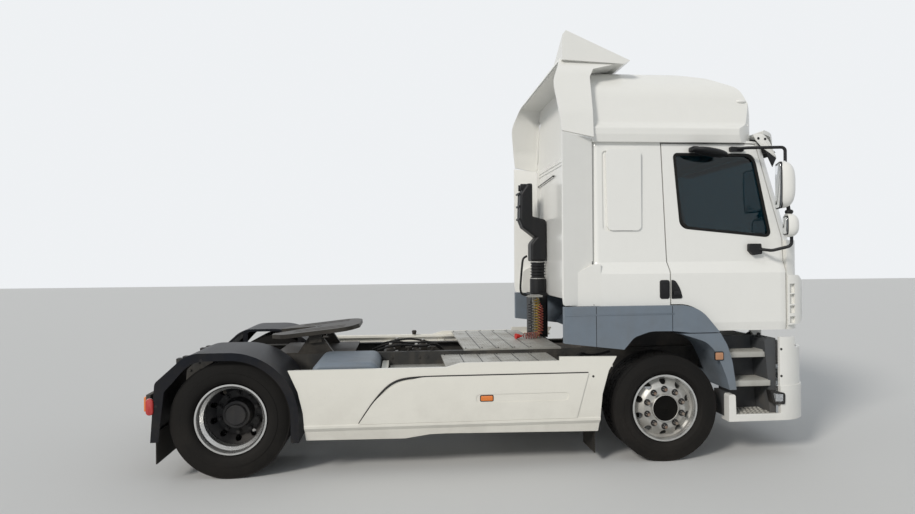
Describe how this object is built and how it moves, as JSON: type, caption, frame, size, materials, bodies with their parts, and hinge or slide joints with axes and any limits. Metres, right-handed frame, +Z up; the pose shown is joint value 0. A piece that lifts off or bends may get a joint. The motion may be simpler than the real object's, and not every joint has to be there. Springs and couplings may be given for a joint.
{
  "type": "semi truck tractor unit",
  "caption": "Two-axle cab-over tractor unit with a tilting high-roof sleeper cab, side skirts, twin rear wheels and a tilting coupling plate behind the cab.",
  "frame": {"origin": "on the ground under the middle of the vehicle's bounding box", "axes": "+X forward, +Y to the vehicle's left, +Z up"},
  "size_m": [5.94, 2.9152, 3.918],
  "materials": {
    "cream_paint": "gloss cream-white paint",
    "cream_plastic": "gloss cream-white moulding",
    "grey_plastic": "mid grey grained plastic",
    "black_plastic": "black grained plastic",
    "black_rubber": "dull black",
    "tyre_rubber": "worn black",
    "silver_rim": "silver paint, dusty",
    "frame_paint": "dark grey chassis paint",
    "cast_dark": "greasy dark cast steel",
    "engine_paint": "grey",
    "tread_plate": "worn tread plate",
    "tank_alloy": "brushed alloy",
    "window_glass": "dark green tint",
    "lamp_glass": "clear cover",
    "trim_fabric": "dark grey cloth",
    "cabin_plastic": "dark grey moulding",
    "line_red": "red",
    "line_yellow": "yellow",
    "line_black": "black"
  },
  "bodies": {
    "chassis": {"chassis_frame": "frame_paint", "engine": "engine_paint", "propeller_shaft": "frame_paint", "front_axle": "cast_dark", "rear_axle": "cast_dark", "air_springs": "black_rubber", "battery_box": "grey_plastic", "exhaust_box": "tread_plate", "fuel_tank": "tank_alloy", "catwalk": "tread_plate", "fifth_wheel_base": "cast_dark", "side_skirts": "cream_plastic", "rear_mudguards": "black_plastic", "rear_lamps": "frame_paint", "bumper": "cream_plastic", "headlamps": "lamp_glass", "step_wells": "grey_plastic", "lower_arches": "grey_plastic", "air_filter": "black_plastic", "curly_line_red": "line_red", "curly_line_yellow": "line_yellow", "curly_line_black": "line_black", "mud_flaps": "black_rubber"},
    "cab": {"cab_shell": "cream_paint", "windscreen": "window_glass", "high_roof": "cream_plastic", "sun_visor": "cream_plastic", "roof_deflector": "cream_plastic", "side_extenders": "cream_plastic", "arch_trims": "grey_plastic", "front_panel": "cream_plastic", "dashboard": "cabin_plastic", "seats": "trim_fabric", "bunk": "trim_fabric", "intake_duct": "black_plastic"},
    "right_door": {"door_right": "cream_paint", "door_glass_right": "window_glass", "mirrors_right": "cream_plastic", "mirror_arms_right": "black_plastic", "kerb_mirror": "black_plastic"},
    "left_door": {"door_left": "cream_paint", "door_glass_left": "window_glass", "mirrors_left": "cream_plastic", "mirror_arms_left": "black_plastic"},
    "lid": {"grille_lid": "cream_plastic"},
    "left_knuckle": {"knuckle_left": "cast_dark"},
    "right_knuckle": {"knuckle_right": "cast_dark"},
    "tie_rod": {"track_rod": "cast_dark"},
    "front_wheel_left": {"front_rim_left": "silver_rim", "front_tyre_left": "tyre_rubber"},
    "front_wheel_right": {"front_rim_right": "silver_rim", "front_tyre_right": "tyre_rubber"},
    "rear_wheels_left": {"rear_rims_left": "silver_rim", "rear_tyres_left": "tyre_rubber"},
    "rear_wheels_right": {"rear_rims_right": "silver_rim", "rear_tyres_right": "tyre_rubber"},
    "plate": {"fifth_wheel_plate": "cast_dark"}
  },
  "joints": [
    {"name": "cab_tilt", "type": "hinge", "parent": "chassis", "child": "cab", "pos_m": [2.85, 0, 1.04], "axis": [0, 1, 0], "range_deg": [0, 60]},
    {"name": "door_right_swing", "type": "hinge", "parent": "cab", "child": "right_door", "pos_m": [2.693, -1.16, 1.45], "axis": [0, 0, 1], "range_deg": [0, 75]},
    {"name": "door_left_swing", "type": "hinge", "parent": "cab", "child": "left_door", "pos_m": [2.693, 1.16, 1.45], "axis": [0, 0, -1], "range_deg": [0, 75]},
    {"name": "lid_lift", "type": "hinge", "parent": "cab", "child": "lid", "pos_m": [2.936, 0, 1.828], "axis": [0, -1, 0], "range_deg": [0, 80]},
    {"name": "steer_left", "type": "hinge", "parent": "chassis", "child": "left_knuckle", "pos_m": [1.55, 0.9, 0.48], "axis": [0, 0, 1], "range_deg": [-38, 38]},
    {"name": "steer_right", "type": "hinge", "parent": "chassis", "child": "right_knuckle", "pos_m": [1.55, -0.9, 0.48], "axis": [0, 0, 1], "range_deg": [-38, 38]},
    {"name": "rod_swing", "type": "hinge", "parent": "left_knuckle", "child": "tie_rod", "pos_m": [1.39, 0.9, 0.355], "axis": [0, 0, 1], "range_deg": [-38, 38]},
    {"name": "front_wheel_left_spin", "type": "hinge", "parent": "left_knuckle", "child": "front_wheel_left", "pos_m": [1.55, 1.025, 0.48], "axis": [0, 1, 0], "continuous": true},
    {"name": "front_wheel_right_spin", "type": "hinge", "parent": "right_knuckle", "child": "front_wheel_right", "pos_m": [1.55, -1.025, 0.48], "axis": [0, 1, 0], "continuous": true},
    {"name": "rear_wheels_left_spin", "type": "hinge", "parent": "chassis", "child": "rear_wheels_left", "pos_m": [-2.25, 0.915, 0.497], "axis": [0, 1, 0], "continuous": true},
    {"name": "rear_wheels_right_spin", "type": "hinge", "parent": "chassis", "child": "rear_wheels_right", "pos_m": [-2.25, -0.915, 0.497], "axis": [0, 1, 0], "continuous": true},
    {"name": "plate_tilt", "type": "hinge", "parent": "chassis", "child": "plate", "pos_m": [-1.65, 0, 1.065], "axis": [0, 1, 0], "range_deg": [-6, 12]}
  ],
  "couplings": [
    {"joint": "steer_right", "follows": "steer_left", "ratio": 1},
    {"joint": "rod_swing", "follows": "steer_left", "ratio": -1}
  ]
}
